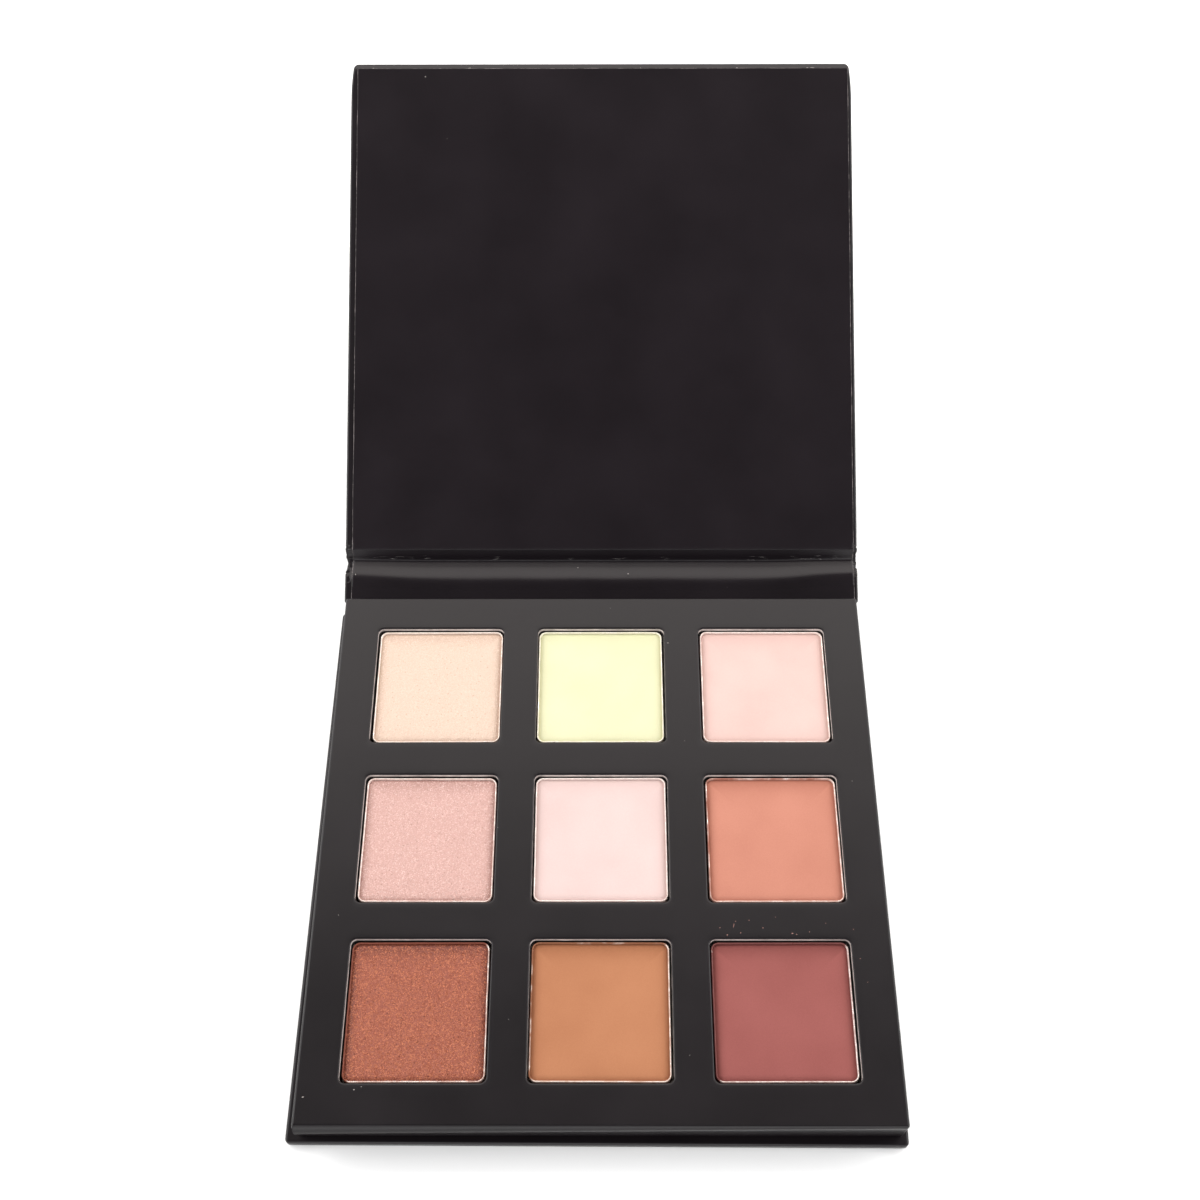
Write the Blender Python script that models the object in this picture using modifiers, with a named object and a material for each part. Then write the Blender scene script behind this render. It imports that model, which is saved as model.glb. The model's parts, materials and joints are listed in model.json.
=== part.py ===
"""Book-style card eyeshadow palette with nine square pans, standing open.

The case is one sheet of paper round three boards: bottom, spine and lid. The tray, a stack of
die-cut cards in its own paper, is glued to the bottom board, and nine metal pans of pressed
powder are glued to its floor. Origin: underside of the bottom board, on the tray's centre line
front to back. +X is right, +Y is towards the spine and +Z is up.
"""
import math

import bmesh
import bpy

MM = 0.001

# Pans and windows
PAN_SIDE = 26.1 * MM
PAN_RADIUS = 1.5 * MM
PAN_WALL = 0.3 * MM
PAN_DROP = 0.75 * MM
PAN_FOOT_ROUND = 0.6 * MM
CAKE_FOOT_ROUND = 0.5 * MM
CAKE_RIM_ROUND = 0.2 * MM
POWDER_DROP = 0.35 * MM
WINDOW_SIDE = 26.8 * MM
WINDOW_RADIUS = 1.2 * MM
WINDOW_PITCH = 34.1 * MM
GRID = 3

# Card, paper and clearances
PAPER = 0.2 * MM
LINER = 0.15 * MM
GLUE_GAP = 0.1 * MM

# Case
CASE_WIDTH = 114.2 * MM
PANEL = 2.4 * MM
TURN_IN = 12 * MM
FRONT_OVERHANG = 1.3 * MM
REAR_OVERHANG = 1.0 * MM
LINER_MARGIN = 1.15 * MM
LINER_SHIFT = 0.35 * MM
LINER_TOP_MARGIN = 1.5 * MM
CASE_CORNER = 1.0 * MM
LID_LENGTH = 111.6 * MM
SPINE_LENGTH = 6.9 * MM
LOWER_GAP = 3.0 * MM
UPPER_GAP = 5.1 * MM

# The bottom board lies a little off square under the tray
BOTTOM_SHIFT = -0.2 * MM
BOTTOM_TURN = math.radians(-0.25)

# Tray
TRAY_SIDE = 110.4 * MM
TRAY_TOP = 10.6 * MM
TRAY_CORNER = 0.5 * MM
FLANGE = 8 * MM
FLOOR_CARD = 1.4 * MM
SPACER_CARD = 2.0 * MM
SPACER_CLEARANCE = 0.3 * MM
PAD_SIDE = 18 * MM
PAD_THICKNESS = 1.0 * MM

# Magnets of the closure
MAGNET_RADIUS = 2.5 * MM
MAGNET_THICKNESS = 1.2 * MM
MAGNET_FIT = 0.15 * MM
MAGNET_X = 17 * MM

# Rest pose: how far the spine and the lid are raised from lying flat behind the tray
SPINE_RAISE = math.radians(22.9)
LID_RAISE = math.radians(4.3)

SHARP_ANGLE = math.radians(35)

TRAY_BOTTOM = PANEL + GLUE_GAP
FLOOR_BOTTOM = TRAY_BOTTOM + PAPER + GLUE_GAP
FLOOR_TOP = FLOOR_BOTTOM + FLOOR_CARD
PAN_BOTTOM = FLOOR_TOP + PAD_THICKNESS + 2 * GLUE_GAP
PAN_TOP = TRAY_TOP - PAN_DROP
CARD_SIDE = TRAY_SIDE - 2 * (PAPER + GLUE_GAP)
CARD_TOP = TRAY_TOP - PAPER - GLUE_GAP
SPACER_BOTTOMS = (FLOOR_TOP + GLUE_GAP, FLOOR_TOP + 2 * GLUE_GAP + SPACER_CARD)
WINDOW_CARD_BOTTOM = SPACER_BOTTOMS[1] + SPACER_CARD + GLUE_GAP
BAR = (TRAY_SIDE - (GRID - 1) * WINDOW_PITCH - WINDOW_SIDE) / 2
MAGNET_Y = -TRAY_SIDE / 2 + BAR / 2

BOTTOM_FRONT = -TRAY_SIDE / 2 - FRONT_OVERHANG
BOTTOM_REAR = TRAY_SIDE / 2 + REAR_OVERHANG
HINGE_Y = BOTTOM_REAR + LOWER_GAP / 2
HINGE_Z = PANEL / 2
HINGE_SPAN = (LOWER_GAP + UPPER_GAP) / 2 + SPINE_LENGTH

# Colour, roughness and metallic value of each finish
FINISHES = {
    "case_paper": ((0.020, 0.016, 0.019), 0.45, 0.0),
    "liner_paper": ((0.018, 0.015, 0.017), 0.40, 0.0),
    "tray_paper": ((0.024, 0.021, 0.023), 0.38, 0.0),
    "greyboard": ((0.36, 0.33, 0.30), 0.90, 0.0),
    "white_card": ((0.72, 0.62, 0.56), 0.85, 0.0),
    "pan_metal": ((0.86, 0.85, 0.84), 0.25, 1.0),
    "adhesive": ((0.85, 0.82, 0.74), 0.60, 0.0),
    "magnet": ((0.55, 0.55, 0.56), 0.30, 1.0),
}

# Pressed powders, far row first and left to right
POWDERS = (
    ("champagne_shimmer", (0.95, 0.72, 0.58)),
    ("pale_yellow", (1.00, 0.95, 0.55)),
    ("light_pink", (0.93, 0.68, 0.62)),
    ("rose_shimmer", (0.74, 0.48, 0.44)),
    ("porcelain_pink", (1.00, 0.82, 0.74)),
    ("terracotta", (0.68, 0.27, 0.16)),
    ("bronze_shimmer", (0.42, 0.13, 0.07)),
    ("tan", (0.56, 0.25, 0.12)),
    ("brick_mauve", (0.38, 0.11, 0.10)),
)


def clear_scene():
    for obj in list(bpy.data.objects):
        bpy.data.objects.remove(obj, do_unlink=True)


def new_collection(name, hidden=False):
    collection = bpy.data.collections.new(name)
    bpy.context.scene.collection.children.link(collection)
    collection.hide_render = hidden
    return collection


def finish(name, color, roughness, metallic):
    """A Principled BSDF material."""
    material = bpy.data.materials.new(name)
    material.use_nodes = True
    shader = material.node_tree.nodes["Principled BSDF"]
    shader.inputs["Base Color"].default_value = (*color, 1)
    shader.inputs["Roughness"].default_value = roughness
    shader.inputs["Metallic"].default_value = metallic
    material.diffuse_color = (*color, 1)
    return material


def is_upright(edge):
    run = edge.verts[1].co - edge.verts[0].co
    return abs(run.z) > 0.999 * run.length


def edges_at(form, height):
    return [edge for edge in form.edges if all(abs(v.co.z - height) < MM / 10 for v in edge.verts)]


def block(low, high, radius=0.0, segments=3):
    """A bmesh box between two corners, its four upright edges rounded to radius."""
    form = bmesh.new()
    bmesh.ops.create_cube(form, size=1)
    for vert in form.verts:
        for i in range(3):
            vert.co[i] = low[i] if vert.co[i] < 0 else high[i]
    if radius:
        edges = [edge for edge in form.edges if is_upright(edge)]
        bmesh.ops.bevel(
            form, geom=edges, offset=radius, segments=segments, profile=0.5, affect="EDGES"
        )
    return form


def square_block(side, bottom, top, radius=0.0, x=0.0, y=0.0, segments=3):
    """A block centred on x and y, square in plan."""
    half = side / 2
    return block((x - half, y - half, bottom), (x + half, y + half, top), radius, segments)


def disc(radius, bottom, top, x, y, sides=20):
    form = bmesh.new()
    bmesh.ops.create_cone(
        form, cap_ends=True, segments=sides, radius1=radius, radius2=radius, depth=top - bottom
    )
    bmesh.ops.translate(form, verts=form.verts, vec=(x, y, (top + bottom) / 2))
    return form


def joined(forms):
    """One bmesh holding every form, each still a body of its own."""
    whole = bmesh.new()
    for form in forms:
        mesh = bpy.data.meshes.new("form")
        form.to_mesh(mesh)
        form.free()
        whole.from_mesh(mesh)
        bpy.data.meshes.remove(mesh)
    return whole


def add_object(name, form, collection, material=None, parent=None):
    mesh = bpy.data.meshes.new(name)
    form.to_mesh(mesh)
    form.free()
    obj = bpy.data.objects.new(name, mesh)
    if material:
        mesh.materials.append(material)
    if parent:
        obj.parent = parent
    collection.objects.link(obj)
    return obj


def cut(obj, form, label):
    """Takes a form away from an object; the cutter shares the object's parent."""
    cutter = add_object(f"{obj.name}_{label}_cutter", form, cutters, parent=obj.parent)
    cutter.hide_render = True
    cutter.display_type = "WIRE"
    modifier = obj.modifiers.new(label, "BOOLEAN")
    modifier.operation = "DIFFERENCE"
    modifier.solver = "EXACT"
    modifier.object = cutter


def window_centres():
    """The centre of each window, far row first and left to right."""
    reach = (GRID - 1) / 2
    for row in range(GRID):
        for column in range(GRID):
            yield (column - reach) * WINDOW_PITCH, (reach - row) * WINDOW_PITCH


def window_forms(side, bottom, top, radius):
    return joined([square_block(side, bottom, top, radius, x, y) for x, y in window_centres()])


def magnet_forms(radius, bottom, top, y):
    return joined([disc(radius, bottom, top, side * MAGNET_X, y) for side in (-1, 1)])


def add_pan(name, x, y):
    """A pressed metal tray, open at the top, with a rounded foot."""
    form = square_block(PAN_SIDE, PAN_BOTTOM, PAN_TOP, PAN_RADIUS, x, y)
    lid = [face for face in form.faces if face.normal.z > 0.9]
    bmesh.ops.delete(form, geom=lid, context="FACES_ONLY")
    foot = edges_at(form, PAN_BOTTOM)
    bmesh.ops.bevel(form, geom=foot, offset=PAN_FOOT_ROUND, segments=2, profile=0.5, affect="EDGES")
    pan = add_object(name, form, palette, finishes["pan_metal"])
    shell = pan.modifiers.new("sheet", "SOLIDIFY")
    shell.thickness = PAN_WALL
    shell.offset = -1
    shell.use_even_offset = True
    pan.data.shade_smooth()
    pan.data.set_sharp_from_angle(angle=SHARP_ANGLE)
    return pan


def add_powder(name, color, x, y):
    """A pressed cake with a slightly eased upper edge."""
    side = PAN_SIDE - 2 * (PAN_WALL + GLUE_GAP)
    bottom = PAN_BOTTOM + PAN_WALL + GLUE_GAP
    top = PAN_TOP - POWDER_DROP
    form = square_block(side, bottom, top, PAN_RADIUS - PAN_WALL, x, y)
    foot = edges_at(form, bottom)
    bmesh.ops.bevel(form, geom=foot, offset=CAKE_FOOT_ROUND, segments=1, affect="EDGES")
    rim = edges_at(form, top)
    bmesh.ops.bevel(form, geom=rim, offset=CAKE_RIM_ROUND, segments=1, affect="EDGES")
    return add_object(name, form, palette, finish(name, color, 0.8, 0.0))


def add_pans():
    names = [f"{i + 1}_{name}" for i, (name, _) in enumerate(POWDERS)]
    for (x, y), name, (_, color) in zip(window_centres(), names, POWDERS):
        add_pan(f"pan_{name}", x, y)
        add_powder(f"powder_{name}", color, x, y)
        pad = square_block(PAD_SIDE, FLOOR_TOP + GLUE_GAP, PAN_BOTTOM - GLUE_GAP, x=x, y=y)
        add_object(f"glue_pad_{name}", pad, palette, finishes["adhesive"])


def add_tray():
    """The stack of cards, lowest first, and the paper folded round it."""
    floor = square_block(CARD_SIDE, FLOOR_BOTTOM, FLOOR_TOP)
    add_object("tray_floor_card", floor, palette, finishes["greyboard"])
    for name, bottom in zip(("spacer_card_lower", "spacer_card_upper"), SPACER_BOTTOMS):
        top = bottom + SPACER_CARD
        card = add_object(name, square_block(CARD_SIDE, bottom, top), palette, finishes["greyboard"])
        side = WINDOW_SIDE + 2 * SPACER_CLEARANCE
        cut(card, window_forms(side, bottom - MM, top + MM, WINDOW_RADIUS), "windows")
    card = add_object(
        "window_card", square_block(CARD_SIDE, WINDOW_CARD_BOTTOM, CARD_TOP), palette,
        finishes["white_card"],
    )
    holes = (WINDOW_CARD_BOTTOM - MM, CARD_TOP + MM)
    cut(card, window_forms(WINDOW_SIDE, *holes, WINDOW_RADIUS), "windows")
    cut(card, magnet_forms(MAGNET_RADIUS + MAGNET_FIT, *holes, MAGNET_Y), "magnets")
    paper = add_object(
        "tray_wrap", square_block(TRAY_SIDE, TRAY_BOTTOM, TRAY_TOP, TRAY_CORNER, segments=2), palette,
        finishes["tray_paper"],
    )
    inner = TRAY_SIDE - 2 * PAPER
    cut(paper, square_block(inner, TRAY_BOTTOM + PAPER, TRAY_TOP - PAPER), "stack")
    cut(paper, window_forms(WINDOW_SIDE, CARD_TOP - MM / 2, TRAY_TOP + MM, WINDOW_RADIUS), "windows")
    below = TRAY_SIDE - 2 * FLANGE
    cut(paper, square_block(below, TRAY_BOTTOM - MM, TRAY_BOTTOM + PAPER + MM / 2), "underside")


def case_form(half, front, rear, low, high, open_front, open_rear):
    """A flat slab whose corners are rounded, but for those of an open end."""
    form = block((-half, front, low), (half, rear, high), CASE_CORNER)
    for end, is_open in ((front, open_front), (rear, open_rear)):
        if is_open:
            square_up(form, end, half)
    return form


def square_up(form, end, half):
    """Puts the rounded corners of one end back to square ones."""
    for vert in [v for v in form.verts if abs(v.co.y - end) < 2 * CASE_CORNER]:
        vert.co.x = math.copysign(half, vert.co.x)
        vert.co.y = end
    bmesh.ops.remove_doubles(form, verts=form.verts, dist=MM / 100)


def add_case_panel(name, front, rear, open_front, open_rear, parent):
    """A board and the case paper round it, flat about z = 0 in the parent's frame.

    The paper is turned in over the two sides and over each end that isn't open; an open end
    carries on into a crease. Its inner side, with the turn-ins, faces +Z.
    """
    half = CASE_WIDTH / 2
    low, high = -PANEL / 2, PANEL / 2 - LINER - GLUE_GAP
    form = case_form(half, front, rear, low, high, open_front, open_rear)
    paper = add_object(f"{name}_wrap", form, palette, finishes["case_paper"], parent)

    def inset(distance):
        """The two ends, brought in by a distance, or pushed out where they are open."""
        past = 2 * MM
        return (
            front - past if open_front else front + distance,
            rear + past if open_rear else rear - distance,
        )

    near, far = inset(PAPER)
    side = half - PAPER
    cut(paper, block((-side, near, low + PAPER), (side, far, high - PAPER)), "board")
    near, far = inset(TURN_IN)
    side = half - TURN_IN
    cut(paper, block((-side, near, high - PAPER - GLUE_GAP), (side, far, high + MM)), "turn_in")
    rim = PAPER + GLUE_GAP
    near = max(front, inset(rim)[0])
    far = min(rear, inset(rim)[1])
    side = half - rim
    board = block((-side, near, low + rim), (side, far, high - rim))
    return add_object(f"{name}_board", board, palette, finishes["greyboard"], parent)


def add_liner(name, front, rear, parent):
    """The lining paper, glued over a panel's inner side and its turn-ins."""
    half = CASE_WIDTH / 2 - LINER_MARGIN
    low = (LINER_SHIFT - half, front, PANEL / 2 - LINER)
    sheet = block(low, (LINER_SHIFT + half, rear, PANEL / 2))
    add_object(f"{name}_liner", sheet, palette, finishes["liner_paper"], parent)


def add_pivot(name, location, raise_angle, turn=0.0, parent=None):
    """An empty that carries a panel; its X axis is the hinge line at the panel's lower end."""
    pivot = bpy.data.objects.new(name, None)
    pivot.empty_display_size = 5 * MM
    pivot.location = location
    pivot.rotation_euler = (raise_angle, 0, turn)
    pivot.parent = parent
    palette.objects.link(pivot)
    return pivot


def add_case():
    base = add_pivot("base_plane", (BOTTOM_SHIFT, HINGE_Y, HINGE_Z), 0, BOTTOM_TURN)
    add_case_panel("bottom", BOTTOM_FRONT - HINGE_Y, BOTTOM_REAR - HINGE_Y, False, True, base)

    spine = add_pivot("spine_pivot", (0, HINGE_Y, HINGE_Z), SPINE_RAISE)
    start = LOWER_GAP / 2
    end = start + SPINE_LENGTH
    add_case_panel("spine", start, end, True, True, spine)
    add_liner("spine", start, end, spine)

    lid = add_pivot("lid_pivot", (0, HINGE_SPAN, 0), LID_RAISE, parent=spine)
    start = UPPER_GAP / 2
    end = start + LID_LENGTH
    board = add_case_panel("lid", start, end, True, False, lid)
    add_liner("lid", start, end - LINER_TOP_MARGIN, lid)

    over_magnets = end - (MAGNET_Y - BOTTOM_FRONT)
    holes = magnet_forms(MAGNET_RADIUS + MAGNET_FIT, -PANEL, PANEL, over_magnets)
    cut(board, holes, "magnets")
    add_magnets("lid_magnet", -(LINER + GLUE_GAP) / 2, over_magnets, lid)
    add_magnets("tray_magnet", (WINDOW_CARD_BOTTOM + CARD_TOP) / 2, MAGNET_Y, None)


def add_magnets(name, middle, y, parent):
    """A left and a right disc, centred on a height above the parent's plane."""
    half = MAGNET_THICKNESS / 2
    for side, label in ((-1, "left"), (1, "right")):
        form = disc(MAGNET_RADIUS, middle - half, middle + half, side * MAGNET_X, y)
        add_object(f"{name}_{label}", form, palette, finishes["magnet"], parent)


clear_scene()
palette = new_collection("eyeshadow_palette")
cutters = new_collection("cutters", hidden=True)
finishes = {name: finish(name, *values) for name, values in FINISHES.items()}
add_pans()
add_tray()
add_case()
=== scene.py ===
"""The looks of a book-style card eyeshadow palette: nine pans of pressed powder, lid open.

Lengths are in metres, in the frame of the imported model: +X right, +Y towards the spine, +Z up.
"""
import json
import math
import random

import bmesh
import bpy
import numpy as np
from mathutils import Matrix, Vector, noise


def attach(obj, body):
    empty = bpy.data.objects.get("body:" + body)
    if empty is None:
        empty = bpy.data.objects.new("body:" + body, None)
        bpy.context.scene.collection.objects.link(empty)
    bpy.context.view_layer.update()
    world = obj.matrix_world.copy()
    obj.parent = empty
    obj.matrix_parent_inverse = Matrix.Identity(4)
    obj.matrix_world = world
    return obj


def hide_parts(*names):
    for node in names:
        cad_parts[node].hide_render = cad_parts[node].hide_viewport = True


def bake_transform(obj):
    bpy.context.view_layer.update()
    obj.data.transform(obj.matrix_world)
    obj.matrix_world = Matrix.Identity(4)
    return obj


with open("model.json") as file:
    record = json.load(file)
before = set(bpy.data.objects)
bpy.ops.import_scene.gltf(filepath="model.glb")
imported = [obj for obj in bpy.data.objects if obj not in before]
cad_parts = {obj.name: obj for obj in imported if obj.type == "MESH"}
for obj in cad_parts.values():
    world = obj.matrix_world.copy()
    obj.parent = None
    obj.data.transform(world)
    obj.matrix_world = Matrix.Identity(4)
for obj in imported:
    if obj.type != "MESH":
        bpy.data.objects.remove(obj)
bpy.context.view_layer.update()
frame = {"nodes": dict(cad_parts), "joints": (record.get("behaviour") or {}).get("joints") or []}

MM = 0.001

# ---------------- driving dimensions
PAPER = 0.2 * MM
LINER = 0.15 * MM
GLUE = 0.1 * MM
WINDOW_RADIUS = 1.2 * MM
PAN_RADIUS = 1.5 * MM
GRID = 3
BOTTOM_TURN = math.radians(-0.25)
BOTTOM_SHIFT = -0.2 * MM

SHADES = (
    "champagne_shimmer", "pale_yellow", "light_pink",
    "rose_shimmer", "porcelain_pink", "terracotta",
    "bronze_shimmer", "tan", "brick_mauve",
)

# ---------------- places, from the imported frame
joints = {joint["name"]: joint for joint in frame["joints"]}
SPINE_HINGE = Vector(joints["spine_hinge"]["pos_m"])
LID_HINGE = Vector(joints["lid_hinge"]["pos_m"])
# Both panels lie flat behind the tray at their joints' lower limits.
SPINE_RAISE = -math.radians(joints["spine_hinge"]["range_deg"][0])
LID_RAISE = SPINE_RAISE - math.radians(joints["lid_hinge"]["range_deg"][0])


def placed(origin, raised, turn=0.0):
    """The frame of a panel whose hinge line passes through origin."""
    return Matrix.Translation(origin) @ Matrix.Rotation(turn, 4, "Z") @ Matrix.Rotation(raised, 4, "X")


BASE_FRAME = placed(Vector((BOTTOM_SHIFT, SPINE_HINGE.y, SPINE_HINGE.z)), 0, BOTTOM_TURN)
SPINE_FRAME = placed(SPINE_HINGE, SPINE_RAISE)
LID_FRAME = placed(LID_HINGE, LID_RAISE)


def span(node, placement=Matrix.Identity(4)):
    """The lowest and highest corner of a CAD node, measured in a placed frame."""
    back = placement.inverted()
    points = np.array([back @ vert.co for vert in frame["nodes"][node].data.vertices])
    return Vector(points.min(0)), Vector(points.max(0))


# ---------------- mesh making
def wobble(x, y, z, scale, seed):
    """Smooth noise from about -1 to 1; scale is the size of its lumps in metres."""
    return noise.noise(Vector((x / scale + 17.3 * seed, y / scale - 5.1 * seed, z / scale)))


def wobbles(points, scale, seed, z=0):
    """The same noise at each of a row of (x, y) points."""
    return np.array([wobble(x, y, z, scale, seed) for x, y in points])


def show(obj):
    bpy.context.scene.collection.objects.link(obj)


class Surface:
    """Rows of points and the quads between them."""

    def __init__(self):
        self.points = []
        self.faces = []
        self.slots = []
        self.values = {}

    def row(self, points):
        start = len(self.points)
        self.points.extend(tuple(point) for point in points)
        return list(range(start, len(self.points)))

    def ring(self, points, z):
        """A row of (x, y) points at one height, or at a height for each."""
        return self.row(np.column_stack([points, np.broadcast_to(z, len(points))]))

    def bridge(self, first, second, closed=True, slot=0):
        count = len(first)
        for i in range(count if closed else count - 1):
            j = (i + 1) % count
            self.faces.append((first[i], first[j], second[j], second[i]))
            self.slots.append(int(slot[i]) if np.ndim(slot) else slot)

    def cap(self, row):
        self.faces.append(tuple(row))
        self.slots.append(0)

    def lattice(self, rows, closed=False, slot=0):
        for first, second in zip(rows, rows[1:]):
            self.bridge(first, second, closed, slot)

    def tube(self, rows):
        """Closed rows with a cap at each end."""
        self.lattice(rows, closed=True)
        self.cap(rows[-1])
        self.cap(rows[0])

    def build(self, name, materials, placement=None, sharp=40, solid=True):
        mesh = bpy.data.meshes.new(name)
        mesh.from_pydata(self.points, [], self.faces)
        for material in materials:
            mesh.materials.append(material)
        mesh.polygons.foreach_set("material_index", self.slots)
        for key, values in self.values.items():
            mesh.attributes.new(key, "FLOAT", "POINT").data.foreach_set("value", values)
        form = bmesh.new()
        form.from_mesh(mesh)
        bmesh.ops.remove_doubles(form, verts=form.verts, dist=1e-7)
        if solid:
            bmesh.ops.recalc_face_normals(form, faces=form.faces)
        form.to_mesh(mesh)
        form.free()
        if placement is not None:
            mesh.transform(placement)
        mesh.shade_smooth()
        mesh.set_sharp_from_angle(angle=math.radians(sharp))
        obj = bpy.data.objects.new(name, mesh)
        show(obj)
        return obj


def rounded_square(half, radius, straight, arc, crowd=0.0):
    """Points round a square and the way out at each, anticlockwise from the middle of the arc
    at the lower right corner. A side has straight + arc steps, closer at its ends with crowd."""
    half_x, half_y = half if isinstance(half, tuple) else (half, half)
    points = []
    outward = []
    for quarter in range(4):
        turn = math.pi / 2 * quarter
        across, along = (half_x, half_y) if quarter % 2 == 0 else (half_y, half_x)
        steps = []

        def bend(end, start):
            for i in range(arc // 2):
                angle = start + math.pi / 4 * i / (arc / 2)
                x = across - radius + radius * math.cos(angle)
                steps.append((x, end * (along - radius) + radius * math.sin(angle), angle))

        bend(-1, -math.pi / 4)
        for i in range(straight):
            share = i / straight * (1 - crowd) + crowd * (0.5 - 0.5 * math.cos(math.pi * i / straight))
            steps.append((across, -along + radius + (2 * along - 2 * radius) * share, 0))
        bend(1, 0)
        cos, sin = math.cos(turn), math.sin(turn)
        for x, y, angle in steps:
            points.append((x * cos - y * sin, x * sin + y * cos))
            outward.append((math.cos(angle + turn), math.sin(angle + turn)))
    return np.array(points), np.array(outward)


def plain_square(half, steps):
    """Points round a square, anticlockwise from its lower right corner."""
    side = np.linspace(-half, half, steps, endpoint=False)
    whole = np.full(steps, half)
    return np.concatenate([
        np.stack([whole, side], 1), np.stack([-side, whole], 1),
        np.stack([-whole, -side], 1), np.stack([side, -whole], 1),
    ])


# ---------------- materials
LAMINATE_IOR = 1.343
LAMINATE_GLOSS = 0.34
FLAKE_TILT = 0.42


class Nodes:
    """A material's node tree around one Principled shader."""

    def __init__(self, name):
        self.material = bpy.data.materials.new(name)
        self.material.use_nodes = True
        self.tree = self.material.node_tree
        self.shader = self.tree.nodes["Principled BSDF"]
        self.place = self.add("ShaderNodeTexCoord").outputs["Object"]

    def add(self, kind, **settings):
        node = self.tree.nodes.new(kind)
        for key, value in settings.items():
            setattr(node, key, value)
        return node

    def link(self, value, socket):
        if isinstance(value, bpy.types.NodeSocket):
            self.tree.links.new(value, socket)
        elif value is not None:
            socket.default_value = value

    def noise(self, size, detail=2.0, roughness=0.5, stretch=(1, 1, 1)):
        """Noise whose lumps are about size across, drawn out along an axis by a small stretch."""
        node = self.add("ShaderNodeTexNoise")
        scaled = self.add("ShaderNodeMapping")
        scaled.inputs["Scale"].default_value = stretch
        self.link(self.place, scaled.inputs["Vector"])
        self.link(scaled.outputs["Vector"], node.inputs["Vector"])
        node.inputs["Scale"].default_value = 1 / size
        node.inputs["Detail"].default_value = detail
        node.inputs["Roughness"].default_value = roughness
        return node.outputs["Fac"]

    def cells(self, size, output="Distance"):
        node = self.add("ShaderNodeTexVoronoi")
        self.link(self.place, node.inputs["Vector"])
        node.inputs["Scale"].default_value = 1 / size
        return node.outputs[output]

    def ramp(self, value, low, high, start=0.0, end=1.0):
        """Takes value from low..high to start..end, clamped."""
        node = self.add("ShaderNodeMapRange")
        self.link(value, node.inputs["Value"])
        for key, number in (("From Min", low), ("From Max", high), ("To Min", start), ("To Max", end)):
            node.inputs[key].default_value = number
        return node.outputs["Result"]

    def math(self, operation, first, second=None, kind="ShaderNodeMath"):
        node = self.add(kind, operation=operation)
        self.link(first, node.inputs[0])
        self.link(second, node.inputs[1])
        return node.outputs[0]

    def vector(self, operation, first, second=None):
        return self.math(operation, first, second, "ShaderNodeVectorMath")

    def mix(self, factor, first, second, blend="MIX"):
        node = self.add("ShaderNodeMix", data_type="RGBA", blend_type=blend)
        self.link(factor, node.inputs["Factor"])
        for socket, color in ((node.inputs[6], first), (node.inputs[7], second)):
            self.link((*color, 1) if isinstance(color, tuple) else color, socket)
        return node.outputs[2]

    def bump(self, height, depth, after=None):
        """A height from 0 to 1 that stands for depth metres."""
        node = self.add("ShaderNodeBump")
        node.inputs["Strength"].default_value = 1
        node.inputs["Distance"].default_value = depth
        self.link(height, node.inputs["Height"])
        self.link(after, node.inputs["Normal"])
        return node.outputs["Normal"]

    def attribute(self, name):
        return self.add("ShaderNodeAttribute", attribute_name=name).outputs["Fac"]

    def margin(self):
        """Painted shade along a cake's rim: how near the rim is, ragged by the grain of the powder."""
        ragged = self.ramp(self.noise(0.6 * MM, 3, 0.6), 0.3, 0.7, 0.75, 1.0)
        return self.math("MULTIPLY", self.attribute("margin"), ragged)

    def finish(self, **sockets):
        for key, value in sockets.items():
            socket = self.shader.inputs[key.replace("_", " ")]
            self.link((*value, 1) if isinstance(value, tuple) and len(value) == 3 else value, socket)
        return self.material


def black_paper(name, tone):
    """Satin black laminated paper over board."""
    nodes = Nodes(name)
    patches = nodes.noise(18 * MM, 3)
    grain = nodes.noise(0.35 * MM, 2)
    fine = nodes.noise(0.12 * MM, 1)
    darker = tuple(0.75 * value for value in tone)
    color = nodes.mix(nodes.ramp(patches, 0.3, 0.7), darker, tone)
    uneven = nodes.math("ADD", patches, grain)
    rough = nodes.ramp(uneven, 0.6, 1.4, LAMINATE_GLOSS - 0.03, LAMINATE_GLOSS + 0.04)
    waves = nodes.bump(nodes.noise(14 * MM, 1), 0.05 * MM)
    peel = nodes.bump(grain, 0.004 * MM, waves)
    peel = nodes.bump(fine, 0.001 * MM, peel)
    return nodes.finish(Base_Color=color, Roughness=rough, Normal=peel, IOR=LAMINATE_IOR)


def cut_edge(name, tone):
    """The fibrous cut edge of paper: lighter in places, black in others."""
    nodes = Nodes(name)
    fibres = nodes.noise(0.6 * MM, 4, 0.7)
    lumps = nodes.noise(3 * MM, 2)
    dirt = tuple(0.1 * value for value in tone)
    light = nodes.ramp(nodes.math("ADD", fibres, lumps), 0.9, 1.25)
    color = nodes.mix(light, dirt, tone)
    return nodes.finish(Base_Color=color, Roughness=0.9, Normal=nodes.bump(fibres, 0.04 * MM))


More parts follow.
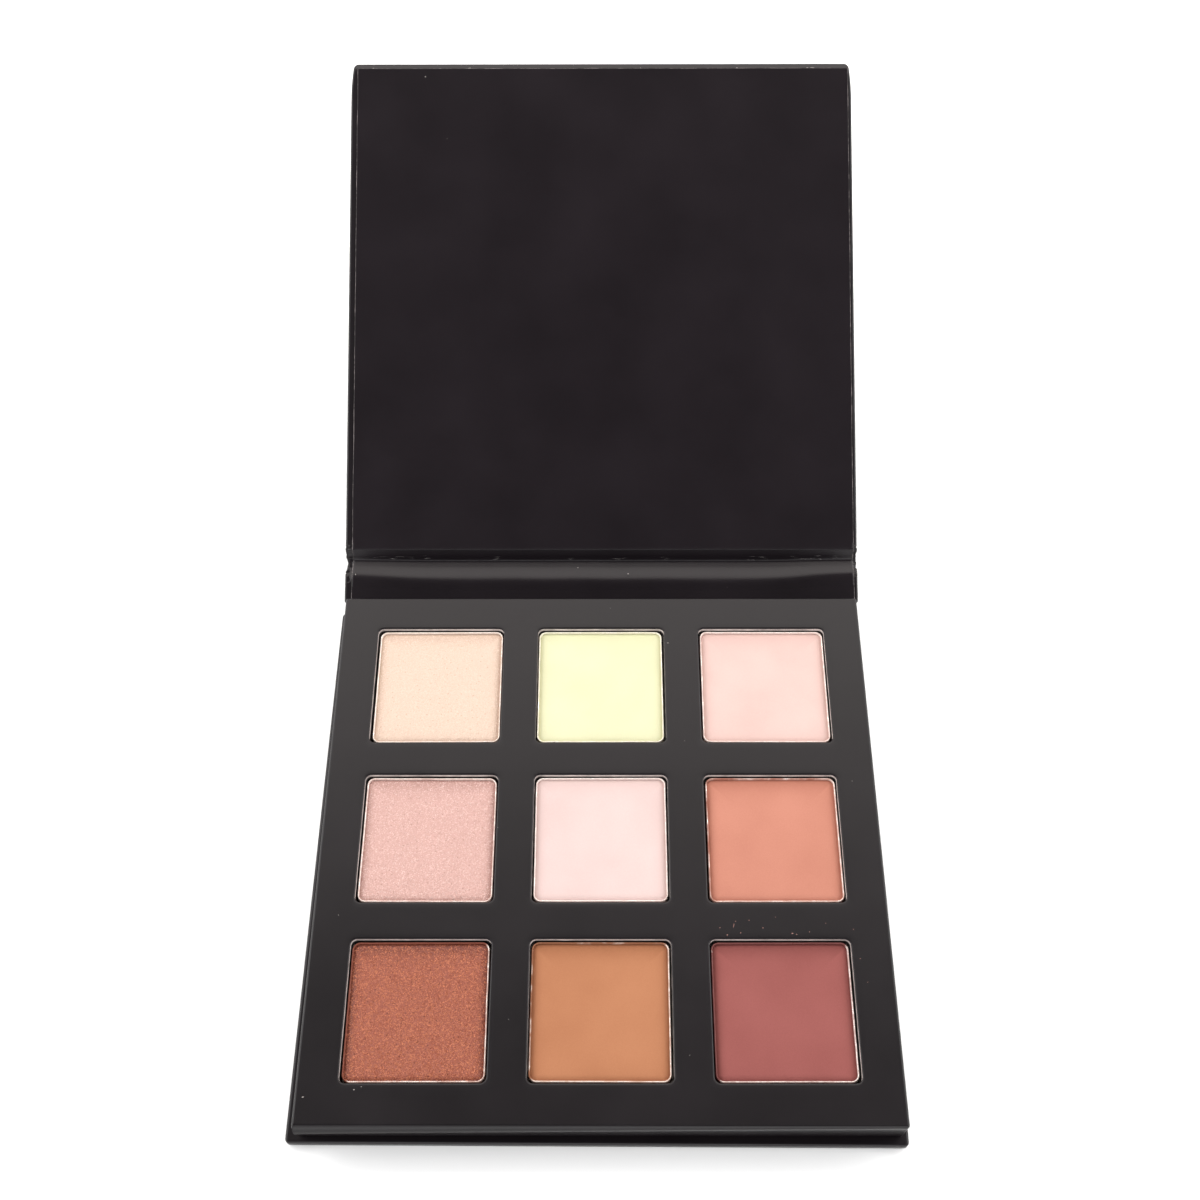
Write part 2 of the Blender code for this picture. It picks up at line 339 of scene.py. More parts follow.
def ply_card(name, tone, painted_shade_core, top):
    """White-lined board seen on its cut edge: a light ply down from top, with the part below it near black,
    painted shade for the dark gap round each pan.
    """
    nodes = Nodes(name)
    fibres = nodes.noise(0.22 * MM, 4, 0.7)
    lumps = nodes.noise(2.2 * MM, 2)
    height = nodes.add("ShaderNodeSeparateXYZ")
    nodes.link(nodes.place, height.inputs[0])
    depth = nodes.math("SUBTRACT", height.outputs["Z"], nodes.math("MULTIPLY", fibres, 0.25 * MM))
    ply = nodes.ramp(depth, top - 0.85 * MM, top - 0.6 * MM)
    dirty = tuple(0.45 * value for value in tone)
    light = nodes.mix(nodes.ramp(nodes.math("ADD", fibres, lumps), 0.75, 1.2), dirty, tone)
    # Below the light ply the edge takes the near-black painted shade.
    color = nodes.mix(ply, painted_shade_core, light)
    return nodes.finish(Base_Color=color, Roughness=0.92, Normal=nodes.bump(fibres, 0.04 * MM))


def plain_dust(name, tone):
    nodes = Nodes(name)
    grain = nodes.noise(0.1 * MM, 2)
    color = nodes.mix(grain, tuple(0.6 * value for value in tone), tone)
    return nodes.finish(Base_Color=color, Roughness=0.9, Normal=nodes.bump(grain, 0.02 * MM))


def grey_board(name):
    nodes = Nodes(name)
    fibres = nodes.noise(0.6 * MM, 5, 0.7, stretch=(0.3, 1, 1))
    flecks = nodes.ramp(nodes.cells(1.6 * MM), 0.05, 0.2)
    color = nodes.mix(fibres, (0.22, 0.20, 0.18), (0.42, 0.39, 0.35))
    color = nodes.mix(flecks, (0.12, 0.11, 0.10), color)
    return nodes.finish(Base_Color=color, Roughness=0.95, Normal=nodes.bump(fibres, 0.05 * MM))


def foam_pad(name):
    nodes = Nodes(name)
    pores = nodes.ramp(nodes.cells(0.3 * MM), 0.1, 0.5)
    color = nodes.mix(pores, (0.62, 0.58, 0.48), (0.86, 0.83, 0.75))
    return nodes.finish(Base_Color=color, Roughness=0.7, Normal=nodes.bump(pores, 0.06 * MM))


def nickel(name):
    nodes = Nodes(name)
    scratches = nodes.noise(0.3 * MM, 3, 0.6, stretch=(1, 0.1, 1))
    rough = nodes.ramp(scratches, 0.3, 0.7, 0.18, 0.35)
    return nodes.finish(Base_Color=(0.62, 0.60, 0.57), Metallic=1.0, Roughness=rough)


def tinplate(name, dust):
    """Bright pressed metal with a film of the powder that it holds."""
    nodes = Nodes(name)
    film = nodes.noise(0.5 * MM, 3, 0.65)
    spots = nodes.noise(2.6 * MM, 2)
    dusty = nodes.ramp(nodes.math("ADD", film, spots), 0.7, 1.1)
    pale = tuple(0.62 * value + 0.33 * cream for value, cream in zip(dust, (1.0, 0.9, 0.82)))
    color = nodes.mix(dusty, (0.92, 0.87, 0.82), pale)
    cover = nodes.math("ADD", nodes.attribute("cover"), nodes.ramp(spots, 0.3, 0.7, -0.15, 0.15))
    buried = nodes.ramp(cover, 0.3, 0.6)
    color = nodes.mix(buried, color, deeper_tone(dust))
    rough = nodes.math("ADD", nodes.math("MULTIPLY", dusty, 0.5), 0.24)
    metal = nodes.ramp(nodes.math("ADD", dusty, buried), 0, 1, 0.8, 0.02)
    dents = nodes.bump(film, 0.012 * MM)
    return nodes.finish(Base_Color=color, Metallic=metal, Roughness=rough, Normal=dents)


def deeper_tone(tone):
    """A deeper tone of a powder: painted shade at a cake's rim, and the colour of its dark specks and of the
    loose powder on a pan's rim; pale shades change the least.
    """
    depth = 0.64 + 0.58 * sum(tone) / 3
    return tuple(value ** 1.14 * depth for value in tone)


def matte_powder(name, tone):
    """Smooth pressed powder with a fine grain."""
    nodes = Nodes(name)
    clouds = nodes.noise(11 * MM, 2)
    grain = nodes.noise(0.16 * MM, 3, 0.6)
    mottled = nodes.math("ADD", nodes.math("MULTIPLY", clouds, 0.5), nodes.math("MULTIPLY", grain, 0.5))
    deep = tuple(value ** 1.06 * 0.92 for value in tone)
    color = nodes.mix(nodes.ramp(mottled, 0.35, 0.65), deep, tone)
    # Painted shade along the cake's rim.
    color = nodes.mix(nodes.margin(), color, deeper_tone(tone))
    pressed = nodes.bump(nodes.noise(1.8 * MM, 2), 0.02 * MM)
    return nodes.finish(
        Base_Color=color, Roughness=0.85, Specular_IOR_Level=0.25,
        Normal=nodes.bump(grain, 0.012 * MM, pressed),
    )


def shimmer_powder(name, tone, bright, deep, flake, glitter):
    """Pressed powder full of mica flakes, each with its own tilt and brightness."""
    nodes = Nodes(name)
    grain = nodes.noise(0.24 * MM, 4, 0.7)
    clouds = nodes.noise(5 * MM, 3)
    specks = nodes.ramp(nodes.cells(1.1 * MM), 0.09, 0.17, 0.8, 0.0)
    pearl = nodes.cells(flake, "Color")
    chance = nodes.add("ShaderNodeSeparateColor")
    nodes.link(pearl, chance.inputs[0])
    base = nodes.mix(nodes.ramp(grain, 0.35, 0.68), deep, tone)
    base = nodes.mix(nodes.ramp(clouds, 0.3, 0.7, 0.0, 0.25), base, deep)
    # Painted shade along the cake's rim.
    base = nodes.mix(nodes.margin(), base, deeper_tone(deep))
    lit = nodes.ramp(chance.outputs[0], 1 - glitter, 1.0)
    color = nodes.mix(lit, base, bright)
    color = nodes.mix(specks, color, deeper_tone(deep))
    tilt = nodes.vector("SUBTRACT", pearl, (0.5, 0.5, 0.5))
    tilt = nodes.vector("MULTIPLY", tilt, (FLAKE_TILT, FLAKE_TILT, FLAKE_TILT))
    tilted = nodes.vector("ADD", nodes.bump(grain, 0.03 * MM), tilt)
    rough = nodes.ramp(chance.outputs[1], 0, 1, 0.35, 0.7)
    return nodes.finish(
        Base_Color=color, Roughness=rough, Metallic=nodes.ramp(lit, 0, 1, 0.1, 0.6),
        Normal=nodes.vector("NORMALIZE", tilted),
    )


case_paper = black_paper("case_paper", (0.0070, 0.0048, 0.0063))
liner_paper = black_paper("liner_paper", (0.0077, 0.0052, 0.0071))
tray_paper = black_paper("tray_paper", (0.0070, 0.0053, 0.0064))
liner_edge = cut_edge("liner_cut_edge", (0.22, 0.19, 0.19))
card_low, card_high = span("window_card")
# The near-black colour below the card's light ply is painted shade in the gap between the card and each pan.
white_card = ply_card("white_card", (0.62, 0.54, 0.51), (0.020, 0.015, 0.014), card_high.z)
scuffed = cut_edge("scuffed_film", (0.34, 0.32, 0.31))
dust = plain_dust("dust", (0.34, 0.31, 0.29))
crumbs = plain_dust("powder_crumbs", (0.40, 0.21, 0.18))
greyboard = grey_board("greyboard")
adhesive = foam_pad("adhesive")
magnet = nickel("magnet")

TONES = {
    "champagne_shimmer": (0.56, 0.430, 0.352),
    "pale_yellow": (0.572, 0.565, 0.374),
    "light_pink": (0.572, 0.406, 0.370),
    "rose_shimmer": (0.485, 0.297, 0.264),
    "porcelain_pink": (0.572, 0.438, 0.416),
    "terracotta": (0.431, 0.180, 0.127),
    "bronze_shimmer": (0.276, 0.077, 0.041),
    "tan": (0.350, 0.148, 0.073),
    "brick_mauve": (0.240, 0.073, 0.065),
}
# Each shimmer's bright flakes, its deep tone, the size of a flake and the share that glitters.
SHIMMERS = {
    "champagne_shimmer": ((0.62, 0.49, 0.41), (0.53, 0.39, 0.305), 0.14 * MM, 0.25),
    "rose_shimmer": ((0.60, 0.425, 0.39), (0.43, 0.252, 0.22), 0.15 * MM, 0.3),
    "bronze_shimmer": ((0.42, 0.145, 0.075), (0.185, 0.040, 0.020), 0.17 * MM, 0.4),
}
powders = {
    shade: shimmer_powder(shade, TONES[shade], *SHIMMERS[shade]) if shade in SHIMMERS
    else matte_powder(shade, TONES[shade])
    for shade in SHADES
}


# ---------------- tray
tray_low, tray_high = span("tray_wrap")
TRAY_HALF = (tray_high.x - tray_low.x) / 2
TRAY_TOP = tray_high.z
TRAY_BOTTOM = tray_low.z
SIDE_STEPS = 26
ARC_STEPS = 10
CELL_STEPS = SIDE_STEPS + ARC_STEPS
FOLD = 0.35 * MM
FRONT_FOLD_LEFT = 1.5 * MM
FRONT_FOLD_RIGHT = 0.4 * MM
TRAY_CORNER = 0.5 * MM
FLANGE = 8 * MM
SEAM_INSET = 0.62 * MM
WINDOW_GAP = 0.35 * MM


def pan_centre(index):
    low, high = span(f"pan_{index + 1}_{SHADES[index]}")
    return np.array([low.x + high.x, low.y + high.y]) / 2


centres = [pan_centre(index) for index in range(len(SHADES))]
PITCH = centres[1][0] - centres[0][0]
pan_low, pan_high = span(f"pan_1_{SHADES[0]}")
PAN_HALF = (pan_high.x - pan_low.x) / 2
WINDOW_HALF = PAN_HALF + WINDOW_GAP


def window_outline(index, spread):
    """The outline of a window, grown by spread, with the slight wander of a cut."""
    points, outward = rounded_square(WINDOW_HALF, WINDOW_RADIUS, SIDE_STEPS, ARC_STEPS)
    points = points + centres[index]
    wander = 0.02 * MM * wobbles(points, 3 * MM, 2)
    return points + outward * (wander[:, None] + spread)


def cell_square(index):
    """The square of paper or card round a window."""
    return plain_square(PITCH / 2, CELL_STEPS) + centres[index]


def block_square():
    """The square round all nine cells, with the same points as the cells' outer sides."""
    return plain_square(PITCH * GRID / 2, CELL_STEPS * GRID)


def window_sheet(surface, index, profile, level, rings=4):
    """The sheet between a cell's square and its window; profile lists (spread, drop) pairs."""
    outer = cell_square(index)
    near = window_outline(index, profile[0][0])
    rows = []
    for ring in range(rings):
        share = ring / rings
        rows.append(surface.ring(outer * (1 - share) + near * share, level))
    for spread, drop in profile:
        rows.append(surface.ring(window_outline(index, spread), level - drop))
    surface.lattice(rows, closed=True)
    return rows[-1]


def front_fold(x):
    """How far the front fold's blunt bevel reaches: wide at the left, tight at the right."""
    share = min(1, max(0, (x + TRAY_HALF) / (2 * TRAY_HALF)))
    return FRONT_FOLD_LEFT + (FRONT_FOLD_RIGHT - FRONT_FOLD_LEFT) * share ** 0.75


def front_bulge(x):
    """How far the front fold stands off the card, as the paper wasn't drawn tight at the left."""
    return 0.1 * MM + 0.8 * (front_fold(x) - FRONT_FOLD_RIGHT)


def drawn_in(points, sides, front):
    """Points of the tray's outline clipped to a rectangle that is smaller by those amounts."""
    x = np.clip(points[:, 0], -TRAY_HALF + sides, TRAY_HALF - sides)
    y = np.clip(points[:, 1], -TRAY_HALF + front, TRAY_HALF - sides)
    return np.column_stack([x, y])


def make_tray_skin():
    """The tray's paper: its face with nine windows, then round its edge down to the flange."""
    surface = Surface()
    edge = [(0.45 * MM, 0), (0.28 * MM, 0.012 * MM), (0.17 * MM, 0.035 * MM),
            (0.08 * MM, 0.08 * MM), (0.02 * MM, 0.14 * MM), (0, PAPER)]
    for index in range(len(SHADES)):
        above = window_sheet(surface, index, edge, TRAY_TOP)
        below = window_sheet(surface, index, [(0.3 * MM, 0), (0, 0)], TRAY_TOP - PAPER, rings=1)
        surface.bridge(above, below)
    corner_arc = 8
    straight = CELL_STEPS * GRID - corner_arc
    points, outward = rounded_square(TRAY_HALF, TRAY_CORNER, straight, corner_arc, crowd=0.9)
    front = np.clip(-outward[:, 1], 0, 1)
    reach = np.array([front_fold(x) for x in points[:, 0]])
    bulge = np.array([front_bulge(x) for x in points[:, 0]])
    loose = points - np.column_stack([np.zeros(len(points)), bulge * front ** 2])
    folds = FOLD + (reach - FOLD) * front ** 2
    inner = block_square()
    rows = [surface.ring(inner, TRAY_TOP)]
    eased = drawn_in(loose, FOLD + 0.12 * MM, reach - bulge + 0.12 * MM)
    for share in (0.4, 0.75, 1):
        rows.append(surface.ring(inner * (1 - share) + eased * share, TRAY_TOP))
    steps = 10
    for step in range(steps + 1):
        angle = math.pi / 2 * step / steps
        # Between a round fold and a straight bevel.
        out = 0.45 * math.sin(angle) + 0.55 * step / steps
        down = 0.45 * (1 - math.cos(angle)) + 0.55 * step / steps
        ring = drawn_in(loose, FOLD * (1 - out), reach * (1 - out) - bulge)
        rows.append(surface.ring(ring, TRAY_TOP - folds * down))
    depth = TRAY_TOP - TRAY_BOTTOM
    firm = np.clip((front - 0.8) / 0.2, 0, 1)
    from_seam = np.abs(points[:, 0]) - TRAY_HALF + SEAM_INSET
    seam = np.exp(-(from_seam / (0.14 * MM)) ** 2) * (front > 0.6)
    for share in (0.22, 0.3, 0.42, 0.6, 0.85, 0.96):
        tight = min(1, max(0, (share - 0.18) / 0.3))
        wall = loose * (1 - tight) + points * tight
        pressed = np.maximum(seam * (0.6 * bulge * (1 - tight) + 0.1 * MM), firm * tight * 0.2 * MM)
        wall = wall - outward * pressed[:, None]
        bow = 0.04 * MM * (wobbles(points, 20 * MM, 8, share) - 1)
        wall = wall + outward * (bow * (1 - front))[:, None]
        rows.append(surface.ring(wall, TRAY_TOP - depth * share))
    hem = points - outward * (0.1 + 0.12 * firm)[:, None] * MM
    rows.append(surface.ring(hem, TRAY_BOTTOM))
    flange = drawn_in(points, FLANGE, FLANGE)
    rows.append(surface.ring(flange, TRAY_BOTTOM))
    rows.append(surface.ring(flange, TRAY_BOTTOM + PAPER))
    hollow = drawn_in(points, 0.35 * MM, 0.5 * MM)
    rows.append(surface.ring(hollow, TRAY_BOTTOM + PAPER))
    rows.append(surface.ring(drawn_in(points, FOLD, FOLD), TRAY_TOP - folds))
    rows.append(surface.ring(drawn_in(points, FOLD, reach - bulge), TRAY_TOP - PAPER))
    rows.append(surface.ring(inner, TRAY_TOP - PAPER))
    surface.lattice(rows, closed=True)
    skin = surface.build("tray_skin", [tray_paper])
    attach(skin, "base")
    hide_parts("tray_wrap")


def make_window_card():
    """The tray's top card; its windows have a rough cut edge and narrow slightly downwards."""
    surface = Surface()
    top = TRAY_TOP - PAPER - 0.02 * MM
    slant = 0.06 * MM
    for index in range(len(SHADES)):
        levels = np.linspace(top, card_low.z, 6)
        rows = [surface.ring(cell_square(index), top)]
        for step, z in enumerate(levels):
            ring = window_outline(index, 0.02 * MM - slant * step / 5)
            rough = 0.03 * MM * wobbles(ring, 0.5 * MM, 4, z)
            ring = ring + (ring - centres[index]) / WINDOW_HALF * rough[:, None]
            rows.append(surface.ring(ring, z))
        rows.append(surface.ring(cell_square(index), card_low.z))
        surface.lattice(rows, closed=True)
    outer = plain_square(card_high.x, CELL_STEPS * GRID)
    shrunk = drawn_in(outer, FOLD + 0.1 * MM, FRONT_FOLD_LEFT)
    sides = ((block_square(), top), (shrunk, card_high.z), (shrunk, card_low.z), (block_square(), card_low.z))
    rows = [surface.ring(points, z) for points, z in sides]
    surface.lattice(rows, closed=True)
    card = surface.build("window_card_cut", [white_card])
    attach(card, "base")
    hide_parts("window_card")


RIM = 0.25 * MM
# How far each pan sits off the middle of its window, right and back, and its turn in degrees.
PAN_SEATS = (
    (0.18, -0.02, 0.25), (-0.10, 0.0, 0.1), (0.02, 0.03, -0.1),
    (0.05, -0.03, -0.1), (0.0, 0.05, 0.12), (0.05, 0.0, 0.1),
    (0.0, -0.04, 0.15), (-0.05, 0.0, -0.12), (-0.08, -0.03, 0.1),
)


def seated(index, ring):
    """A ring of points about the middle of a pan, moved to where that pan is glued."""
    right, back, turn = PAN_SEATS[index]
    angle = math.radians(turn)
    spin = np.array([[math.cos(angle), math.sin(angle)], [-math.sin(angle), math.cos(angle)]])
    return ring @ spin + centres[index] + np.array([right, back]) * MM


def make_pan(index):
    """A pressed tinplate pan with a rounded lip and a slightly uneven rim."""
    shade = SHADES[index]
    node = f"pan_{index + 1}_{shade}"
    low, high = span(node)
    lip = RIM / 2
    surface = Surface()
    profile = [(RIM, low.z + 0.32 * MM), (RIM, high.z - lip)]
    profile += [
        (lip + lip * math.cos(angle), high.z - lip + lip * math.sin(angle))
        for angle in np.linspace(0, math.pi, 7)[1:-1]
    ]
    profile += [(0, high.z - lip), (0, low.z + 0.9 * MM), (0.25 * MM, low.z + 0.25 * MM), (0.9 * MM, low.z)]
    points, outward = rounded_square(PAN_HALF, PAN_RADIUS, 40, 16)
    rows = []
    # Loose powder covers the rims of the dark shades, most of all at the far and the left side.
    dark = min(1, max(0, 1.25 - 2.6 * sum(TONES[shade]) / 3))
    far, near, left = (np.clip(way, 0, 1) for way in (outward[:, 1], -outward[:, 1], -outward[:, 0]))
    cover = dark * (0.8 * far + 0.75 * left + 0.3 * near)
    surface.values["cover"] = [float(value) for value in np.tile(cover, len(profile))]
    for inset, z in profile:
        share = max(0, (z - high.z + 1.5 * MM) / (1.5 * MM))
        dents = share * 0.05 * MM * np.abs(wobbles(points, 6 * MM, 11 + index))
        lift = share * (0.04 * wobbles(points, 4 * MM, 31 + index) - 0.03) * MM
        ring = points - outward * (inset + dents)[:, None]
        rows.append(surface.ring(seated(index, ring), z + lift))
    surface.tube(rows)
    pan = surface.build(f"pan_shell_{index + 1}", [tinplate(f"tinplate_{shade}", TONES[shade])])
    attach(pan, "base")
    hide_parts(node)


def make_cake(index):
    """Pressed powder: nearly flat, lower at its edge, where grains have come away."""
    shade = SHADES[index]
    node = f"powder_{index + 1}_{shade}"
    low, high = span(node)
    half = PAN_HALF - RIM - 0.02 * MM
    outline, outward = rounded_square(half, PAN_RADIUS - RIM, 48, 16)
    surface = Surface()
    margin = []
    # The painted shade along the cake's edge is widest at the far side, where the far rim's shadow falls, and
    # narrowest at the near side.
    spread = (0.4 + 0.6 * np.abs(outward[:, 0]) + 1.9 * np.clip(outward[:, 1], 0, 1)) * MM

    def ring(points, level, inset):
        margin.extend(np.exp(-(inset / spread) ** 1.7))
        return surface.ring(seated(index, points), level)

    rows = [ring(outline * 0.98, low.z, 0), ring(outline, low.z + 0.4 * MM, 0)]
    crumble = 0.06 * MM * wobbles(outline, 0.5 * MM, 51 + index)
    for inset in np.array([0.0, 0.05, 0.12, 0.22, 0.36, 0.55, 0.8]) * MM:
        edge = math.exp(-(inset / (0.45 * MM)) ** 2)
        rows.append(ring(outline - outward * inset, high.z - edge * (0.2 * MM + crumble), inset))
    last = outline - outward * 0.8 * MM
    for share in (0.975, 0.95, 0.925, 0.9, 0.87, 0.83, 0.78, 0.7, 0.55, 0.4, 0.25, 0.1):
        rows.append(ring(last * share, high.z, 0.8 * MM + half * (1 - share)))
    surface.tube(rows)
    # How much painted shade each point of the cake's edge gets, for its material.
    surface.values["margin"] = [float(value) for value in margin]
    cake = surface.build(f"cake_{index + 1}", [powders[shade]], sharp=60)
    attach(cake, "base")
    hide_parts(node)


# ---------------- case
LID_STRETCH = 0.18 * MM
LINER_STRETCH = 0.45 * MM
LID_CORNER_TAPER = 0.6 * MM
LID_CORNER_REACH = 8 * MM


def filled(surface, outline, centre, level):
    """Rings from an outline to its middle; it gives back the outermost."""
    shares = np.linspace(0.96, 0.04, 8)
    rows = [surface.ring(centre + (outline - centre) * share, level) for share in shares]
    surface.lattice(rows, closed=True)
    surface.cap(rows[-1])
    return rows[0]


def drawn_in_box(points, centre, half_x, half_y):
    """Points clipped to a box round a centre."""
    return centre + np.clip(points - centre, (-half_x, -half_y), (half_x, half_y))


def tapered(points, half_x, rear, amount):
    """Pulls the rear corners in, as paper drawn tight round a board's corner does."""
    reach = np.clip((rear - points[:, 1]) / LID_CORNER_REACH, 0, 1)
    pull = amount * (1 - reach) ** 2 * np.clip(np.abs(points[:, 0]) / half_x, 0, 1) ** 8
    return points - np.column_stack([np.sign(points[:, 0]) * pull, np.zeros(len(points))])


def make_panel(name, node, body, placement, rounding, corner, stretch=0.0, taper=0.0, crush=None,
               finish="case_paper"):
    """A board, or the paper round it, with soft edges; crush caps the height of its inner face."""
    low, high = span(node, placement)
    front, rear = low.y, high.y + stretch
    centre = np.array([(low.x + high.x) / 2, (front + rear) / 2])
    half_x, half_y = (high.x - low.x) / 2, (rear - front) / 2
    points, outward = rounded_square((half_x, half_y), corner, 90, 12)
    points = tapered(points, half_x, half_y, taper) + centre
    surface = Surface()

    def ring(outline, level):
        return surface.ring(outline, level if crush is None else np.minimum(level, crush(outline, high.z)))

    rows = []
    angles = np.linspace(0, math.pi / 2, 7)
    for side, level, turns in ((1, high.z, angles), (-1, low.z, angles[::-1])):
        for angle in turns:
            outline = points - outward * rounding * (1 - math.sin(angle))
            rows.append(ring(outline, level - side * rounding * (1 - math.cos(angle))))
    inside = points - outward * (rounding + 0.12 * MM)
    top = ring(inside, high.z)
    under = surface.ring(inside, low.z)
    surface.lattice([top, *rows, under], closed=True)
    insets = np.array([3.0, 1.9, 1.6, 1.25, 0.95]) * MM
    steps = [drawn_in_box(inside, centre, half_x - inset, half_y - inset) for inset in insets]
    level_rows = [ring(step, high.z) for step in steps]
    inner = filled(surface, steps[0], centre, high.z)
    surface.lattice([inner, *level_rows, top], closed=True)
    outer = filled(surface, inside, centre, low.z)
    surface.bridge(outer, under)
    panel = surface.build(name, [case_paper if finish == "case_paper" else greyboard], placement)
    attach(panel, body)
    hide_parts(node)


def make_liner(name, node, body, placement, stretch=0.0, cut=0.0):
    """The lining paper: a thin sheet whose cut edge shows as a fine light line, but not where
    the sheet goes on over a crease: at the front, and at the rear if it is cut short there."""
    surface = Surface()
    low, high = span(node, placement)
    front, rear = low.y, high.y + stretch - cut
    centre = np.array([(low.x + high.x) / 2, (front + rear) / 2])
    half = ((high.x - low.x) / 2, (rear - front) / 2)
    points, outward = rounded_square(half, 0.25 * MM, 140, 4)
    points = points + centre
    points = points + outward * (0.06 * MM * wobbles(points, 9 * MM, 5))[:, None]
    rows = []
    for inset, drop in ((0.24, 0), (0.11, 0), (0.05, 0.03), (0.0, 0.12)):
        rows.append(surface.ring(points - outward * inset * MM, high.z - drop * MM))
    rows.append(surface.ring(points, high.z - LINER - GLUE))
    surface.lattice(rows[:2], closed=True)
    shown = (outward[:, 1] > -0.7) & ((outward[:, 1] < 0.7) | (cut == 0))
    for first, second in zip(rows[1:], rows[2:]):
        surface.bridge(first, second, slot=shown)
    inner = filled(surface, points - outward * 0.24 * MM, centre, high.z)
    surface.bridge(inner, rows[0])
    surface.cap(rows[-1])
    liner = surface.build(name, [liner_paper, liner_edge], placement, sharp=30)
    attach(liner, body)
    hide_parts(node)


# ---------------- creases
LINE_STEPS = 6
# The point of crease_line's smooth line where the lining starts to climb to the lid.
BEND = 4 * LINE_STEPS
LINING_SHEET = 0.16 * MM


def smooth_line(points, steps):
    """A smooth line through points, as many as steps between each two (Catmull-Rom)."""
    points = [np.array(point, float) for point in points]
    whole = [2 * points[0] - points[1], *points, 2 * points[-1] - points[-2]]
    line = []
    for a, b, c, d in zip(whole, whole[1:], whole[2:], whole[3:]):
        for step in range(steps):
            t = step / steps
            line.append(0.5 * (2 * b + (c - a) * t + (2 * a - 5 * b + 4 * c - d) * t ** 2
                               + (3 * b - a - 3 * c + d) * t ** 3))
    line.append(points[-1])
    return np.array(line)


def side_view(placement, y, z):
    """A place in a panel's frame as the row's (y, z)."""
    point = placement @ Vector((0, y, z))
    return point.y, point.z


spine_low, spine_high = span("spine_wrap", SPINE_FRAME)
spine_lining_high = span("spine_liner", SPINE_FRAME)[1]
lid_low, lid_high = span("lid_wrap", LID_FRAME)
lining_low, lining_high = span("lid_liner", LID_FRAME)


def crush_length(x):
    """How much of the spine's upper end the crease has flattened, at a place along it."""
    x = x / MM
    left = 0.8 * math.exp(-((x + 57) / 14) ** 2)
    right = 1.3 / (1 + math.exp(-(x - 46) / 3.5))
    return (1.7 - left - right + 0.12 * wobble(x * MM, 0, 0, 14 * MM, 9)) * MM


def flattened_spine(ring, level):
    """The highest that the spine may reach, where its upper end is flattened."""
    fall = math.tan(SPINE_RAISE)
    ends = np.array([spine_high.y - crush_length(x) for x in ring[:, 0]])
    return level - np.clip(ring[:, 1] - ends, 0, None) * fall


def eased_lid(ring, level):
    """The highest that the lid may reach: its free edge leans back a little."""
    start = lid_high.y + LID_STRETCH - 1.25 * MM
    return level - np.clip(ring[:, 1] - start, 0, None) * math.tan(math.radians(20))


def crease_line(x):
    """The lining across the upper crease in the row's (y, z), from the spine to the lid."""
    crush = crush_length(x)
    top = spine_lining_high.z + 0.01 * MM
    start = side_view(SPINE_FRAME, spine_lining_high.y - crush - 2.3 * MM, top)
    edge = side_view(SPINE_FRAME, spine_lining_high.y - crush, top)
    lift = 0.05 * MM * wobble(x, 0, 0, 11 * MM, 21)
    flat = (LID_HINGE.y - 1.79 * MM, edge[1] + lift)
    dip = (LID_HINGE.y - 0.19 * MM, edge[1] - 0.08 * MM + lift)
    bend = (LID_HINGE.y + 0.61 * MM, edge[1] + 0.12 * MM + lift)
    brow = side_view(LID_FRAME, lid_low.y + 0.05 * MM, lining_high.z - 0.14 * MM)
    slope = ((bend[0] + brow[0]) / 2 - 0.02 * MM, (bend[1] + brow[1]) / 2)
    over = side_view(LID_FRAME, lid_low.y + 0.38 * MM, lining_high.z + 0.01 * MM)
    level = side_view(LID_FRAME, lid_low.y + 0.62 * MM, lining_high.z + 0.014 * MM)
    end = side_view(LID_FRAME, lid_low.y + 1.6 * MM, lining_high.z + 0.012 * MM)
    return smooth_line([start, edge, flat, dip, bend, slope, brow, over, level, end], LINE_STEPS)


def make_crease_lining():
    """The lining across the upper crease, with its cut edge at both ends."""
    surface = Surface()
    left, right = lining_low.x, lining_high.x
    bevel = 0.15 * MM
    count = 300
    columns = [left, *np.linspace(left + bevel, right - bevel, count), right]
    drops = [0.12 * MM, *[0.0] * count, 0.12 * MM]
    lines = [crease_line(x) for x in columns]

    def sheet_row(x, line, drop):
        return surface.row([(x, y, z - drop) for y, z in line])

    tops = [sheet_row(*place) for place in zip(columns, lines, drops)]
    belows = [sheet_row(x, line, LINING_SHEET) for x, line in zip(columns, lines)]
    surface.lattice(tops[:2], slot=1)
    surface.lattice(tops[1:-1])
    surface.lattice(tops[-2:], slot=1)
    surface.lattice(belows)
    for end in (0, -1):
        surface.bridge(tops[end], belows[end], closed=False, slot=1)
    for end in (0, -1):
        surface.bridge([row[end] for row in tops], [row[end] for row in belows], closed=False)
    lining = surface.build("crease_lining", [liner_paper, liner_edge], sharp=50)
    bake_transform(lining)


